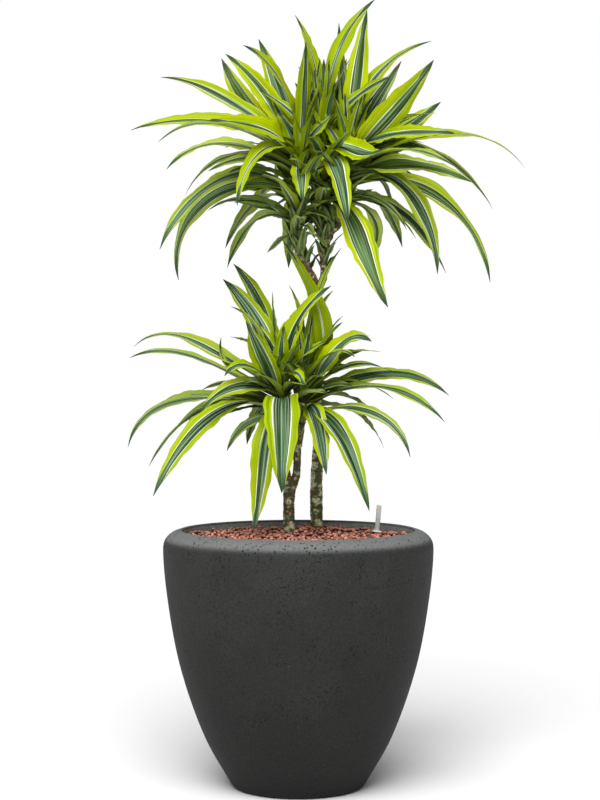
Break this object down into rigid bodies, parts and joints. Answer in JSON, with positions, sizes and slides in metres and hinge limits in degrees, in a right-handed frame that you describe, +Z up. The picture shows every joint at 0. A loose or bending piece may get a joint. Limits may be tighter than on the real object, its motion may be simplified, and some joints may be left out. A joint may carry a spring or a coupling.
{
  "type": "potted dracaena",
  "caption": "Branched dracaena with arching lime-edged leaves on cut canes, standing in clay granules in a round tapered planter with a small water gauge.",
  "frame": {"origin": "centre of the planter's flat underside", "axes": "+Z up along the planter's axis, +X to the right in the picture, so that its camera looks along +Y"},
  "size_m": [0.6628, 0.5339, 1.2835],
  "materials": {
    "planter": "matte",
    "clay": "matte",
    "cane": "matte",
    "leaf": "satin",
    "gauge_tube": "gloss",
    "gauge_float": "satin",
    "gauge_plate": "satin"
  },
  "bodies": {
    "root": {"planter": "planter", "clay_granules": "clay", "short_cane": "cane", "tall_cane": "cane", "lower_left_shoot": "leaf", "lower_right_shoot": "leaf", "upper_left_shoot": "leaf", "upper_centre_shoot": "leaf", "upper_right_shoot": "leaf", "gauge_tube": "gauge_tube", "gauge_float": "gauge_float", "gauge_plate": "gauge_plate"}
  },
  "joints": []
}
